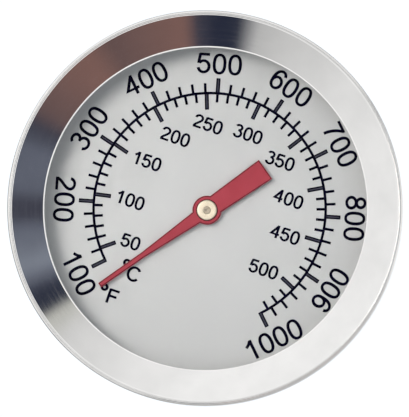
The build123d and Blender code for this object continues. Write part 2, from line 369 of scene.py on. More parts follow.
def pointer_paint():
    surface = Surface("pointer_red_paint", 0.0, Specular_IOR_Level=0.08)
    surface.colour(surface.noise(400), (0.3, (0.385, 0.046, 0.066)), (0.7, (0.440, 0.056, 0.080)))
    surface.rough(surface.noise(1800), 0.32, 0.45)
    surface.bump(surface.noise(2600, detail=4), 0.006, 0.5)
    return surface.material


def pointer_rim_paint():
    """Painted shade and shadow: dark paint for a band along the pointer's stamped edges and for a ring round
    its hub.
    """
    surface = Surface("pointer_rim_paint", 0.0, Specular_IOR_Level=0.1)
    surface.colour(surface.noise(600), (0.3, (0.020, 0.001, 0.003)), (0.7, (0.032, 0.001, 0.005)))
    surface.rough(surface.noise(1800), 0.30, 0.42)
    surface.bump(surface.noise(2600, detail=4), 0.006, 0.5)
    return surface.material


def gasket_rubber():
    surface = Surface("gasket_rubber", 0.0)
    surface.colour(surface.noise(900), (0.3, grey(0.020)), (0.7, grey(0.032)))
    surface.rough(surface.noise(1800), 0.60, 0.80)
    surface.bump(surface.noise(2500), 0.01, 0.6)
    return surface.material


def spacer_metal():
    surface = Surface("spacer_aluminium", 1.0)
    surface.colour(surface.noise(300), (0.3, (0.62, 0.63, 0.65)), (0.7, (0.72, 0.725, 0.74)))
    surface.rough(surface.noise(1.0, surface.turned(3000, 5000)), 0.25, 0.38)
    surface.bump(surface.noise(1.0, surface.turned(3000, 5000)), 0.004, 0.5)
    return surface.material


def window_glass():
    """Clear glass that lets lamps through."""
    surface = Surface("window_glass", 0.0, Transmission_Weight=1.0, IOR=1.48)
    surface.shader.inputs["Base Color"].default_value = (0.985, 0.995, 0.99, 1)
    surface.rough(surface.noise(90), 0.0, 0.012)
    clear = surface.node("ShaderNodeBsdfTransparent").outputs["BSDF"]
    through = surface.node("ShaderNodeMixShader")
    path = surface.node("ShaderNodeLightPath")
    surface.tree.links.new(path.outputs["Is Shadow Ray"], through.inputs["Fac"])
    surface.tree.links.new(surface.shader.outputs["BSDF"], through.inputs[1])
    surface.tree.links.new(clear, through.inputs[2])
    output = surface.tree.nodes["Material Output"]
    surface.tree.links.new(through.outputs["Shader"], output.inputs["Surface"])
    return surface.material


steel = polished_steel()
case_steel = drawn_steel()
shank_steel = turned_steel()
stem_steel = ground_stem_steel()
zinc = zinc_plate()
dial_silver = silvered_dial()
ink = printed_ink()
slate_ink = tick_ink()
red = pointer_paint()
# painted shade for the pointer's edges and painted shadow round its hub
painted_shade = pointer_rim_paint()
nickel = hub_metal()
bearing_metal = bronze()
strip_metal = bimetal()
dark_spindle = spindle_steel()

# ---- the CAD nodes that stay, with better materials ----
kept_nodes = {
    "lens_glass": window_glass(),
    "lens_gasket": gasket_rubber(),
    "spacer_ring": spacer_metal(),
    "dial_plate": dial_silver,
    "shank_fitting": shank_steel,
    "backing_washer": case_steel,
    "upper_bearing": bearing_metal,
    "lower_bearing": bearing_metal,
    "bimetal_coil": strip_metal,
    "spindle": dark_spindle,
    "coil_collar": shank_steel,
    "thrust_collar": shank_steel,
    "spring_washer": zinc,
}
for node_name, node_material in kept_nodes.items():
    for material_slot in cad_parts[node_name].material_slots:
        material_slot.material = node_material

# ---- the bezel and the case ----
BEZEL_SHEET = 0.5
BEAD_R = 0.36
BEAD_SWEEP = 140
WINDOW_R = 22.1
LIP_FACET = 0.17  # a burnished facet around the window, steeper than the dish
LIP_FACET_TILT = 39
DISH_RINGS = (0.02, 0.98)  # rings close to the dish's two ends keep it flat between them
RECESS_R = 23.2  # where the dish's back meets the part of the lip that lies on the glass
HOOK_R = 25.4
FLANGE_BACK = bezel_back - BEZEL_SHEET
lip_front = glass_front - BEZEL_SHEET
bead_y = bezel_front + BEAD_R
dish_slope = (lip_front - bezel_front) / (head_r - BEAD_R - WINDOW_R)
dish_drop = BEZEL_SHEET * math.hypot(1, dish_slope)


def dish_back(r):
    """The dish sheet's hidden side at a radius."""
    return lip_front + dish_drop - dish_slope * (r - WINDOW_R)


bead_end = math.radians(-BEAD_SWEEP)
dish_top = (head_r - BEAD_R + BEAD_R * math.cos(bead_end), bead_y + BEAD_R * math.sin(bead_end))
skirt_bore = head_r - BEZEL_SHEET
facet_top = lip_front - dish_slope * LIP_FACET
facet_foot = facet_top + LIP_FACET * math.tan(math.radians(LIP_FACET_TILT))
dish_run = (WINDOW_R + LIP_FACET - dish_top[0], facet_top - dish_top[1])
dish_ends = [(dish_top[0] + part * dish_run[0], dish_top[1] + part * dish_run[1], 0) for part in DISH_RINGS]
bezel_corners = [
    (dish_top[0], dish_top[1], 0),
    *dish_ends,
    (WINDOW_R + LIP_FACET, facet_top, 0.02),
    (WINDOW_R, facet_foot, 0.05),
    (WINDOW_R, glass_front, 0.1),
    (RECESS_R, glass_front, 0.1),
    (RECESS_R, dish_back(RECESS_R), 0),
    (skirt_bore, dish_back(skirt_bore), 0.2),
    (skirt_bore, FLANGE_BACK, 0),
    (HOOK_R, FLANGE_BACK, 0.1),
    (HOOK_R, bezel_back, 0.1),
    (head_r, bezel_back, 0.8),
    (head_r, bead_y, 0),
]
bead = arc((head_r - BEAD_R, bead_y), (BEAD_R, BEAD_R), 0, -BEAD_SWEEP, steps=20)
bezel = lathe("bezel_shell", rounded(bezel_corners) + bead[1:-1], steps=384)
dress(bezel, steel, "case", "bezel_steel", "bezel_ring")

SHEET = 0.6
CASE_WALL_R = 24.9
CASE_STEP_R = 20.5
SPIGOT_R = 5.0
floor_back = back_of("case_cup")
flange_front = front_of("case_cup")
flange_r = radius_of("case_cup")
cup_corners = [
    (SPIGOT_R, floor_back, 0.05),
    (CASE_STEP_R, floor_back, 1.7),
    (CASE_STEP_R, dial_back + SHEET, 0.3),
    (CASE_WALL_R, dial_back + SHEET, 0.9),
    (CASE_WALL_R, flange_front + SHEET, 0.2),
    (flange_r, flange_front + SHEET, 0.1),
    (flange_r, flange_front, 0.1),
    (CASE_WALL_R - SHEET, flange_front, 0.8),
    (CASE_WALL_R - SHEET, dial_back, 0.3),
    (CASE_STEP_R - SHEET, dial_back, 0.9),
    (CASE_STEP_R - SHEET, floor_back - SHEET, 1.1),
    (SPIGOT_R, floor_back - SHEET, 0.05),
]
cup = lathe("case_shell", rounded(cup_corners), steps=256)
dress(cup, case_steel, "case", "case_steel", "case_cup")

# ---- the stem ----
tube_r = radius_of("stem_tube")
TUBE_BORE_R = 2.6
tube_front = front_of("stem_tube")
tube_back = back_of("stem_tube")
tube_corners = [
    (TUBE_BORE_R, tube_front, 0.05),
    (tube_r, tube_front, 0.12),
    (tube_r, tube_back, 0.03),
    (TUBE_BORE_R, tube_back, 0.03),
]
dress(lathe("stem_sleeve", rounded(tube_corners), steps=96), stem_steel, "case", "stem_steel", "stem_tube")

tip_back = back_of("tip_plug")
PLUG_STUB_R = 1.8
plug_shoulder = tube_back - 2.0
plug_corners = [
    (0, front_of("tip_plug"), 0),
    (PLUG_STUB_R, front_of("tip_plug"), 0.15),
    (PLUG_STUB_R, plug_shoulder, 0),
    (TUBE_BORE_R, plug_shoulder, 0.1),
    (TUBE_BORE_R, tube_back, 0),
    (tube_r, tube_back, 0.03),
    (tube_r, tip_back, 1.1),
    (0, tip_back, 0),
]
plug = lathe("stem_tip", rounded(plug_corners, steps=12), steps=96)
dress(plug, stem_steel, "case", "stem_steel", "tip_plug")

# ---- the dial's print ----
PRINT_SHIFT = (0.19, 0.32)  # the printed scale sits a little off the pointer's axis
PRINT_SCALE = 1.0145  # the whole print's size over the sizes given here
INK_HEIGHT = 0.02
INK_STEP = 0.003  # strokes that cross are of different heights, so that their faces don't coincide
FAHRENHEIT_START = 100
FAHRENHEIT_END = 1000
START_ANGLE = 225.0
DEGREES_PER_FAHRENHEIT = -0.3
SCALE_R = 15.75
ARC_WIDTH = 0.36
PEN_ACROSS = 0.056  # half a stroke's width in ems, measured sideways
PEN_UP = 0.050  # and measured upwards
FIGURE_ADVANCE = 0.556
CAP_HEIGHT = 0.716
DIAL_FIGURE = 3.8
INNER_FIGURE = 2.47
INNER_WEIGHT = 1.22
SHARPEST_MITER = 0.55  # a corner sharper than this cosine's is drawn out no further


def scale_angle(fahrenheit):
    """Where a temperature is on the dial, in degrees anticlockwise from +X."""
    return START_ANGLE + DEGREES_PER_FAHRENHEIT * (fahrenheit - FAHRENHEIT_START)


class Print:
    """Ink slabs on the dial, gathered into one mesh."""

    def __init__(self):
        self.points = []
        self.faces = []

    def slab(self, left, right, height, closed=False):
        """A slab between two edges of the same number of (x, z) points."""
        base = len(self.points)
        for (lx, lz), (rx, rz) in zip(left, right):
            for x, z, y in ((lx, lz, 0), (rx, rz, 0), (rx, rz, height), (lx, lz, height)):
                place = (x * PRINT_SCALE + PRINT_SHIFT[0], dial_front - y, z * PRINT_SCALE + PRINT_SHIFT[1])
                self.points.append(place)
        count = len(left)
        for index in range(count if closed else count - 1):
            here = base + 4 * index
            after = base + 4 * ((index + 1) % count)
            for side in range(4):
                other = (side + 1) % 4
                self.faces.append((here + side, here + other, after + other, after + side))
        if not closed:
            end = base + 4 * (count - 1)
            self.faces.append((base, base + 1, base + 2, base + 3))
            self.faces.append((end, end + 1, end + 2, end + 3))

    def stroke(self, path, to_dial, height, weight=1.0):
        """A pen stroke along a glyph's path; to_dial takes its em coordinates to the dial."""
        pen_across = PEN_ACROSS * weight
        pen_up = PEN_UP * weight
        closed = math.dist(path[0], path[-1]) < 1e-6
        if closed:
            path = path[:-1]
        left = []
        right = []
        for index, (x, y) in enumerate(path):
            before = path[index - 1] if closed or index > 0 else None
            after = path[(index + 1) % len(path)] if closed or index < len(path) - 1 else None
            normals = []
            for a, b in ((before, (x, y)), ((x, y), after)):
                if a is not None and b is not None:
                    run = math.dist(a, b)
                    normals.append(((a[1] - b[1]) / run, (b[0] - a[0]) / run))
            nx = sum(n[0] for n in normals)
            ny = sum(n[1] for n in normals)
            length = math.hypot(nx, ny)
            nx /= length
            ny /= length
            miter = 1 / max(SHARPEST_MITER, nx * normals[0][0] + ny * normals[0][1])
            reach = math.hypot(pen_across * nx, pen_up * ny)
            dx = pen_across * pen_across * nx / reach * miter
            dy = pen_up * pen_up * ny / reach * miter
            left.append(to_dial(x + dx, y + dy))
            right.append(to_dial(x - dx, y - dy))
        self.slab(left, right, height, closed)

    def text(self, words, to_dial, weight=1.0):
        """A word from its strokes, starting at em x 0 on the baseline."""
        pen_x = 0
        for letter in words:
            for index, path in enumerate(GLYPHS[letter]):
                shifted = [(x + pen_x, y) for x, y in path]
                self.stroke(shifted, to_dial, INK_HEIGHT + INK_STEP * index, weight)
            pen_x += FIGURE_ADVANCE

    def radial(self, angle, inner, outer, width, height=INK_HEIGHT):
        """A tick between two radii."""
        along = (math.cos(math.radians(angle)), math.sin(math.radians(angle)))
        edges = []
        for side in (1, -1):
            shift = side * width / 2
            edge = []
            for r in (inner, outer):
                edge.append((along[0] * r - along[1] * shift, along[1] * r + along[0] * shift))
            edges.append(edge)
        self.slab(edges[0], edges[1], height)

    def finish(self, name, material):
        piece = make_object(name, self.points, self.faces, smooth_angle=25)
        return dress(piece, material, "case", "dial_ink")


def oval(centre, radii, power=2.0, steps=36):
    """A closed superellipse."""
    points = []
    for step in range(steps + 1):
        angle = 2 * math.pi * (step % steps) / steps
        c = math.cos(angle)
        s = math.sin(angle)
        x = centre[0] + radii[0] * math.copysign(abs(c) ** (2 / power), c)
        y = centre[1] + radii[1] * math.copysign(abs(s) ** (2 / power), s)
        points.append((x, y))
    return points


def half_turn(paths):
    """A figure's strokes turned upside down, which makes a 9 of a 6."""
    return [[(FIGURE_ADVANCE - x, CAP_HEIGHT - y) for x, y in path] for path in paths]


SIX = [
    oval((0.286, 0.235), (0.18, 0.205)),
    bezier((0.468, 0.548), (0.45, 0.70), (0.29, 0.73), (0.185, 0.63))
    + bezier((0.185, 0.63), (0.10, 0.54), (0.09, 0.36), (0.108, 0.24))[1:],
]
GLYPHS = {
    "0": [oval((0.277, 0.352), (0.191, 0.327), power=2.35)],
    "1": [
        [(0.3285, 0), (0.3285, 0.716)],
        bezier((0.109, 0.503), (0.20, 0.545), (0.28, 0.61), (0.325, 0.70)),
    ],
    "2": [
        arc((0.268, 0.515), (0.187, 0.165), 175, -35)
        + bezier((0.421, 0.420), (0.36, 0.315), (0.13, 0.20), (0.082, 0.05))[1:],
        [(0.04, 0.0425), (0.503, 0.0425)],
    ],
    "3": [
        arc((0.265, 0.540), (0.163, 0.141), 158, -90),
        arc((0.270, 0.212), (0.196, 0.185), 95, -165),
    ],
    "4": [
        [(0.51, 0.2115), (0.062, 0.2115), (0.350, 0.655)],
        [(0.367, 0), (0.367, 0.716)],
    ],
    "5": [
        [(0.115, 0.673), (0.47, 0.673)],
        [(0.130, 0.70), (0.083, 0.345)],
        arc((0.268, 0.235), (0.195, 0.205), 145, -168),
    ],
    "6": SIX,
    "7": [
        [(0.047, 0.662), (0.51, 0.662)],
        bezier((0.465, 0.655), (0.33, 0.50), (0.22, 0.27), (0.215, 0)),
    ],
    "8": [
        oval((0.277, 0.53), (0.158, 0.15)),
        oval((0.277, 0.193), (0.192, 0.168)),
    ],
    "9": half_turn(SIX),
    "C": [arc((0.36, 0.358), (0.29, 0.32), 35, 320, steps=36)],
    "F": [
        [(0.124, 0), (0.124, 0.716)],
        [(0.124, 0.674), (0.575, 0.674)],
        [(0.124, 0.370), (0.515, 0.370)],
    ],
}


def tangent_text(words, angle, baseline_r, tops_inward):
    """Where em coordinates go for a straight word centred on a radius and square to it."""
    a = math.radians(angle)
    up = (math.cos(a), math.sin(a))
    right = (up[1], -up[0])
    if tops_inward:
        up = (-up[0], -up[1])
        right = (-right[0], -right[1])
    half = len(words) * FIGURE_ADVANCE / 2
    start = (math.cos(a) * baseline_r, math.sin(a) * baseline_r)

    def to_dial(x, y):
        across = (x - half) * DIAL_FIGURE
        above = y * DIAL_FIGURE
        return (start[0] + right[0] * across + up[0] * above, start[1] + right[1] * across + up[1] * above)

    return to_dial


def upright_text(words, centre, size, advance=FIGURE_ADVANCE):
    """Where em coordinates go for an upright word centred on a point."""
    half = (len(words) - 1) * FIGURE_ADVANCE / 2 + advance / 2

    def to_dial(x, y):
        return (centre[0] + (x - half) * size, centre[1] + (y - CAP_HEIGHT / 2) * size)

    return to_dial


OUTER_BASELINE_R = 18.4
INNER_TOP_BASELINE_R = 21.1
TOPS_INWARD = (100, 200, 900, 1000)
FAHRENHEIT_FIGURES = 100
FAHRENHEIT_TICKS = 20
outer_figures = Print()
for value in range(FAHRENHEIT_START, FAHRENHEIT_END + 1, FAHRENHEIT_FIGURES):
    inward = value in TOPS_INWARD
    baseline = INNER_TOP_BASELINE_R if inward else OUTER_BASELINE_R
    outer_figures.text(str(value), tangent_text(str(value), scale_angle(value), baseline, inward))
outer_figures.finish("fahrenheit_figures", ink)

CELSIUS_PLACES = {  # each figure's middle: its radius and its angle anticlockwise from +X
    50: (11.58, 221.5),
    100: (10.85, 192.4),
    150: (10.72, 161.4),
    200: (10.84, 134.1),
    250: (11.50, 109.8),
    300: (11.43, 81.7),
    350: (11.59, 53.1),
    400: (10.84, 26.0),
    450: (10.88, 0.1),
    500: (11.01, -29.1),
}
inner_figures = Print()
for value, (r, angle) in CELSIUS_PLACES.items():
    centre = (r * math.cos(math.radians(angle)), r * math.sin(math.radians(angle)))
    inner_figures.text(str(value), upright_text(str(value), centre, INNER_FIGURE), INNER_WEIGHT)
inner_figures.finish("celsius_figures", ink)

UNIT_SIZE = 2.8
UNIT_WEIGHT = 1.2
UNIT_PLACES = (  # (letter, its degree ring's middle, the letter's middle, the letter's width in ems)
    ("C", (-8.22, -10.51), (-6.82, -11.67), 0.72),
    ("F", (-10.03, -14.61), (-8.51, -15.53), 0.68),
)
degree_ring = oval((0.278, 0.358), (0.13, 0.13), steps=24)
unit_marks = Print()
for letter, ring_centre, letter_centre, advance in UNIT_PLACES:
    unit_marks.text(letter, upright_text(letter, letter_centre, UNIT_SIZE, advance), UNIT_WEIGHT)
    to_ring = upright_text("0", ring_centre, UNIT_SIZE)
    unit_marks.stroke(degree_ring, to_ring, INK_HEIGHT, UNIT_WEIGHT)
unit_marks.finish("unit_marks", ink)

MAJOR_WIDTH = 0.56
MINOR_WIDTH = 0.36
CORE_WIDTH = 0.2  # the paler middle of a long tick
CORE_INSET = 0.15
CORE_HEIGHT = INK_HEIGHT * 1.5
END_TICK_OVERLAP = 0.15  # how far in from the scale line's middle the first and last long ticks start
OUTER_MAJOR_R = 17.8
OUTER_MINOR_R = 17.1
INNER_MAJOR_R = 13.5
INNER_MINOR_R = 14.5
CELSIUS_START = 50
CELSIUS_END = 530
CELSIUS_FIGURES = 50
CELSIUS_TICKS = 10
ticks = Print()
tick_cores = Print()


def long_tick(angle, inner, outer):
    """A long tick and its paler core."""
    ticks.radial(angle, inner, outer, MAJOR_WIDTH)
    tick_cores.radial(angle, inner + CORE_INSET, outer - CORE_INSET, CORE_WIDTH, CORE_HEIGHT)


for value in range(FAHRENHEIT_START, FAHRENHEIT_END + 1, FAHRENHEIT_TICKS):
    angle = scale_angle(value)
    if value % FAHRENHEIT_FIGURES == 0:
        at_end = value in (FAHRENHEIT_START, FAHRENHEIT_END)
        long_tick(angle, SCALE_R - END_TICK_OVERLAP if at_end else SCALE_R, OUTER_MAJOR_R)
    else:
        ticks.radial(angle, SCALE_R, OUTER_MINOR_R, MINOR_WIDTH)
for value in range(CELSIUS_START, CELSIUS_END + 1, CELSIUS_TICKS):
    angle = scale_angle(value * 9 / 5 + 32)
    if value % CELSIUS_FIGURES == 0:
        long_tick(angle, INNER_MAJOR_R, SCALE_R)
    else:
        ticks.radial(angle, INNER_MINOR_R, SCALE_R, MINOR_WIDTH)
ticks.finish("scale_ticks", ink)
tick_cores.finish("tick_cores", slate_ink)

scale_line = Print()
first_angle = scale_angle(FAHRENHEIT_START)
last_angle = scale_angle(FAHRENHEIT_END)
inner_r = SCALE_R - ARC_WIDTH / 2
outer_r = SCALE_R + ARC_WIDTH / 2
scale_line.slab(
    arc((0, 0), (outer_r, outer_r), first_angle, last_angle, steps=270),
    arc((0, 0), (inner_r, inner_r), first_angle, last_angle, steps=270),
    INK_HEIGHT + INK_STEP,
)
scale_line.finish("scale_line", ink)

# ---- the pointer and its hub ----
POINTER_ANGLE = 233.8
POINTER_REACH = 18.0
POINTER_TAIL = 9.8
BLADE_ROOT = 1.94
BLADE_NECK = 0.8
BLADE_NECK_AT = 10.6
BLADE_TIP = 0.72
TAIL_ROOT = 2.7
TAIL_END = 3.2
BOSS_R = 2.0
HUB_RIVET_R = 0.9
POINTER_EDGE = 0.07  # rounding of the stamped edges
POINTER_EDGE_SHADE = 0.09  # the painted shade's width along them
JOIN_OVERLAP = 2  # degrees of the boss that the blade's root runs into
STAMPED_EDGE_ANGLE = 60  # edges sharper than this are the plate's rims
EDGE_STEPS = 3
SAME_PLACE = 0.001  # points closer than this are one


def pointer_plan():
    """The pointer's outline, anticlockwise, with its blade along +x."""
    blade_join = math.degrees(math.asin(BLADE_ROOT / 2 / BOSS_R)) - JOIN_OVERLAP
    tail_join = 180 - math.degrees(math.asin(TAIL_ROOT / 2 / BOSS_R))
    half = [
        (POINTER_REACH, BLADE_TIP / 2),
        (BLADE_NECK_AT, BLADE_NECK / 2),
        *arc((0, 0), (BOSS_R, BOSS_R), blade_join, tail_join, steps=20),
        (-POINTER_TAIL, TAIL_END / 2),
    ]
    return half + [(x, -z) for x, z in reversed(half)]


def plate(name, plan, bore_r, y_front, y_back, edge, shade_band, turn):
    """A flat plate from its plan with a round hole, turned by some degrees about the axis.

    Its edges are rounded, and a band along the front face's outline takes the second material, which paints
    shade along them.
    """
    work = bmesh.new()
    loops = [plan, arc((0, 0), (bore_r, bore_r), 0, 360, steps=48)[:-1]]
    edges = []
    for loop in loops:
        corners = [work.verts.new((x, y_back, z)) for x, z in loop]
        for index, corner in enumerate(corners):
            edges.append(work.edges.new((corner, corners[(index + 1) % len(corners)])))
    bmesh.ops.triangle_fill(work, use_beauty=True, edges=edges)
    raised = bmesh.ops.extrude_face_region(work, geom=work.faces[:])
    moved = [item for item in raised["geom"] if isinstance(item, bmesh.types.BMVert)]
    bmesh.ops.translate(work, verts=moved, vec=(0, y_front - y_back, 0))
    bmesh.ops.recalc_face_normals(work, faces=work.faces)
    sharp = math.radians(STAMPED_EDGE_ANGLE)
    rims = [e for e in work.edges if len(e.link_faces) == 2 and e.calc_face_angle() > sharp]
    flat_rims = [e for e in rims if abs(e.verts[0].co.y - e.verts[1].co.y) < SAME_PLACE]
    bmesh.ops.bevel(work, geom=flat_rims, offset=edge, segments=EDGE_STEPS, profile=0.5, affect="EDGES")
    face_front = [f for f in work.faces if f.calc_center_median().y < y_front + SAME_PLACE]
    # the band of faces just inside the front face's outline, which carries the painted edge shade
    shade_border = bmesh.ops.inset_region(work, faces=face_front, thickness=shade_band, use_even_offset=True)["faces"]
    turning = Matrix.Rotation(-math.radians(turn), 3, "Y")
    bmesh.ops.rotate(work, verts=work.verts, cent=(0, 0, 0), matrix=turning)
    bmesh.ops.recalc_face_normals(work, faces=work.faces)
    work.verts.index_update()
    points = [vertex.co.copy() for vertex in work.verts]
    faces = [[vertex.index for vertex in face.verts] for face in work.faces]
    painted_shade_flags = [face in shade_border for face in work.faces]
    work.free()
    made = make_object(name, points, faces, smooth_angle=40)
    for polygon, in_painted_shade in zip(made.data.polygons, painted_shade_flags):
        polygon.material_index = 1 if in_painted_shade else 0
    return made


red_pointer = plate(
    "red_pointer",
    pointer_plan(),
    HUB_RIVET_R,
    pointer_front,
    pointer_back,
    POINTER_EDGE,
    POINTER_EDGE_SHADE,
    POINTER_ANGLE,
)
dress(red_pointer, red, "pointer", "pointer_red", "pointer")
# the second material paints shade along the pointer's edges
red_pointer.data.materials.append(painted_shade)

HUB_SLEEVE_R = 1.2
hub_disc_r = radius_of("pointer_hub")
spindle_r = radius_of("spindle")
hub_corners = [
    (spindle_r, hub_front, 0.08),
    (hub_disc_r, hub_front, 0.16),
    (hub_disc_r, pointer_front, 0.03),
    (HUB_RIVET_R, pointer_front, 0),
    (HUB_RIVET_R, pointer_back, 0),
    (HUB_SLEEVE_R, pointer_back, 0.03),
    (HUB_SLEEVE_R, hub_back, 0.05),
    (spindle_r, hub_back, 0.03),
]
hub = lathe("hub_rivet", rounded(hub_corners), steps=96)
dress(hub, nickel, "pointer", "hub_nickel", "pointer_hub")

# A dark ring on the pointer's face round the hub's disc: a painted shadow of the disc.
HUB_SHADOW_WIDTH = 0.13
HUB_SHADOW_HEIGHT = 0.012
HUB_SHADOW_OVERLAP = 0.02  # how far it runs in under the hub's edge
hub_shadow_corners = [
    (hub_disc_r - HUB_SHADOW_OVERLAP, pointer_front - HUB_SHADOW_HEIGHT, 0),
    (hub_disc_r + HUB_SHADOW_WIDTH, pointer_front - HUB_SHADOW_HEIGHT, 0),
    (hub_disc_r + HUB_SHADOW_WIDTH, pointer_front, 0),
    (hub_disc_r - HUB_SHADOW_OVERLAP, pointer_front, 0),
]
hub_shadow = lathe("hub_painted_shadow", rounded(hub_shadow_corners), steps=96)
dress(hub_shadow, painted_shade, "pointer", "pointer_red")

# ---- the clamping hardware ----
washer_front = front_of("plain_washer")
washer_back = back_of("plain_washer")
washer_r = radius_of("plain_washer")
WASHER_BORE_R = 4.5
washer_corners = [
    (WASHER_BORE_R, washer_front, 0.1),
    (washer_r, washer_front, 0.3),
    (washer_r, washer_back, 0.2),
    (WASHER_BORE_R, washer_back, 0.1),
]
washer = lathe("flat_washer", rounded(washer_corners), steps=128)
dress(washer, zinc, "washers", "fastener_zinc", "plain_washer")

WING_EDGE = 0.5
CAST_EDGE_ANGLE = 30  # edges sharper than this are rounded
FLAT_ANGLE = 2  # faces that meet at less than this become one
THREAD_MARGIN = 0.2  # edges no further than this outside the washers' bore belong to the threaded bore


def cast_wing_nut():
    """The wing nut's shape with the edges outside its threaded bore rounded, as a casting's are."""
    work = bmesh.new()
    work.from_mesh(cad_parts["wing_nut"].data)
    bmesh.ops.scale(work, verts=work.verts, vec=(1 / MM, 1 / MM, 1 / MM))
    bmesh.ops.remove_doubles(work, verts=work.verts, dist=SAME_PLACE)
    flat = math.radians(FLAT_ANGLE)
    bmesh.ops.dissolve_limit(work, angle_limit=flat, verts=work.verts, edges=work.edges)
    cast_edges = []
    for edge in work.edges:
        if len(edge.link_faces) != 2 or not edge.is_convex:
            continue
        outside = min(math.hypot(end.co.x, end.co.z) for end in edge.verts) > WASHER_BORE_R + THREAD_MARGIN
        if outside and edge.calc_face_angle() > math.radians(CAST_EDGE_ANGLE):
            cast_edges.append(edge)
    bmesh.ops.bevel(
        work,
        geom=cast_edges,
        offset=WING_EDGE,
        segments=EDGE_STEPS,
        profile=0.5,
        clamp_overlap=True,
        affect="EDGES",
    )
    bmesh.ops.remove_doubles(work, verts=work.verts, dist=SAME_PLACE)
    bmesh.ops.dissolve_degenerate(work, dist=SAME_PLACE, edges=work.edges)
    work.verts.index_update()
    points = [vertex.co.copy() for vertex in work.verts]
    faces = [[vertex.index for vertex in face.verts] for face in work.faces]
    work.free()
    return make_object("cast_wing_nut", points, faces, smooth_angle=32)


dress(cast_wing_nut(), zinc, "wing_nut", "fastener_zinc", "wing_nut")

# ---- camera ----
CAMERA_AZIMUTH = 4.3
CAMERA_ELEVATION = -2.4
CAMERA_ROLL = 19.0  # the dial is seen turned clockwise by this much
CAMERA_DISTANCE = 0.9
VIEW_HEIGHT = 0.05688  # how much of the head's plane the picture's height, its longer side, takes in
SENSOR = 36.0
CAMERA_DROP = 0.00015  # how far below the head's middle the picture's middle is, in metres

azimuth = math.radians(CAMERA_AZIMUTH)
elevation = math.radians(CAMERA_ELEVATION)
target = Vector((0, (bezel_front + BEAD_R) * MM, 0))
towards_camera = Vector(
    (
        math.sin(azimuth) * math.cos(elevation),
        -math.cos(azimuth) * math.cos(elevation),
        math.sin(elevation),
    )
)
roll = math.radians(CAMERA_ROLL)
upright = Vector((-math.sin(roll), 0, math.cos(roll)))
image_right = upright.cross(towards_camera).normalized()
image_up = towards_camera.cross(image_right).normalized()

camera_data = bpy.data.cameras.new("camera")
camera = bpy.data.objects.new("camera", camera_data)
bpy.context.scene.collection.objects.link(camera)
camera_data.sensor_fit = "AUTO"
camera_data.sensor_width = SENSOR
camera_data.lens = SENSOR * CAMERA_DISTANCE / VIEW_HEIGHT
camera_data.clip_start = 0.01
camera_data.clip_end = 20
pose = Matrix((image_right, image_up, towards_camera)).transposed().to_4x4()
pose.translation = target + towards_camera * CAMERA_DISTANCE - image_up * CAMERA_DROP
camera.matrix_world = pose
bpy.context.scene.camera = camera

# ---- studio: floor, white surround, key light and reflection cards ----
FLOOR_Z = -0.05
FLOOR_R = 4.0
FLOOR_GLOW = 0.5  # the floor's own light, which keeps it white


def emitter(name, colour, strength=1.0):
    material = bpy.data.materials.new(name)
    material.use_nodes = True
    tree = material.node_tree
    tree.nodes.clear()
    light = tree.nodes.new("ShaderNodeEmission")
    light.inputs["Color"].default_value = (*colour, 1)
    light.inputs["Strength"].default_value = strength
    output = tree.nodes.new("ShaderNodeOutputMaterial")
    tree.links.new(light.outputs["Emission"], output.inputs["Surface"])
    return material


def only_in_reflections(card, through_glass=False):
    """A card that polished metal and glass reflect, and that neither lights nor shades anything."""
    card.visible_camera = False
    card.visible_diffuse = False
    card.visible_shadow = False
    card.visible_transmission = through_glass
    card.visible_volume_scatter = False


def pale_floor():
    material = bpy.data.materials.new("pale_floor")
    material.use_nodes = True
    shader = material.node_tree.nodes["Principled BSDF"]
    shader.inputs["Base Color"].default_value = (0.82, 0.82, 0.82, 1)
    shader.inputs["Roughness"].default_value = 0.9
    shader.inputs["Emission Color"].default_value = (1, 0.99, 0.98, 1)
    shader.inputs["Emission Strength"].default_value = FLOOR_GLOW
    return material


floor_rim = arc((0, 0), (FLOOR_R / MM, FLOOR_R / MM), 0, 360, steps=96)[:-1]
floor = make_object("floor", [(x, y, FLOOR_Z / MM) for x, y in floor_rim], [list(range(len(floor_rim)))])
floor.data.materials.append(pale_floor())
floor.visible_glossy = False  # the reflection cards below its level would be hidden from the polished dish

ROOM_WHITE = (0.92, 0.96, 1.0)
ROOM_STRENGTH = 1.1  # as the camera and polished metal see it
AMBIENT = 0.56  # how strongly the room itself lights dull surfaces
SURROUND_STOPS = (  # (0 straight down, 1 straight up; colour)
    (0.0, grey(0.38)),
    (0.30, grey(0.46)),
    (0.47, grey(0.54)),
    (0.53, grey(0.90)),
    (0.70, grey(0.98)),
    (0.82, grey(0.66)),
    (1.0, grey(0.52)),
)


def white_surround():
    """A white room. What polished metal mirrors of it gets darker downwards, as walls and a bench do."""
    world = bpy.data.worlds.new("white_surround")
    bpy.context.scene.world = world
    world.use_nodes = True
    tree = world.node_tree
    direction = tree.nodes.new("ShaderNodeTexCoord").outputs["Generated"]
    parts = tree.nodes.new("ShaderNodeSeparateXYZ")
    tree.links.new(direction, parts.inputs["Vector"])
    height = tree.nodes.new("ShaderNodeMapRange")
    height.inputs["From Min"].default_value = -1
    tree.links.new(parts.outputs["Z"], height.inputs["Value"])
    ramp = tree.nodes.new("ShaderNodeValToRGB")
    paint_ramp(ramp.color_ramp, SURROUND_STOPS)
    tree.links.new(height.outputs["Result"], ramp.inputs["Fac"])
    path = tree.nodes.new("ShaderNodeLightPath")
    mix = tree.nodes.new("ShaderNodeMix")
    mix.data_type = "RGBA"
    mix.inputs["A"].default_value = (*ROOM_WHITE, 1)
    tree.links.new(path.outputs["Is Glossy Ray"], mix.inputs["Factor"])
    tree.links.new(ramp.outputs["Color"], mix.inputs["B"])
    tree.links.new(mix.outputs["Result"], tree.nodes["Background"].inputs["Color"])
    strength = tree.nodes.new("ShaderNodeMapRange")
    strength.inputs["To Min"].default_value = ROOM_STRENGTH
    strength.inputs["To Max"].default_value = AMBIENT
    tree.links.new(path.outputs["Is Diffuse Ray"], strength.inputs["Value"])
    tree.links.new(strength.outputs["Result"], tree.nodes["Background"].inputs["Strength"])


white_surround()

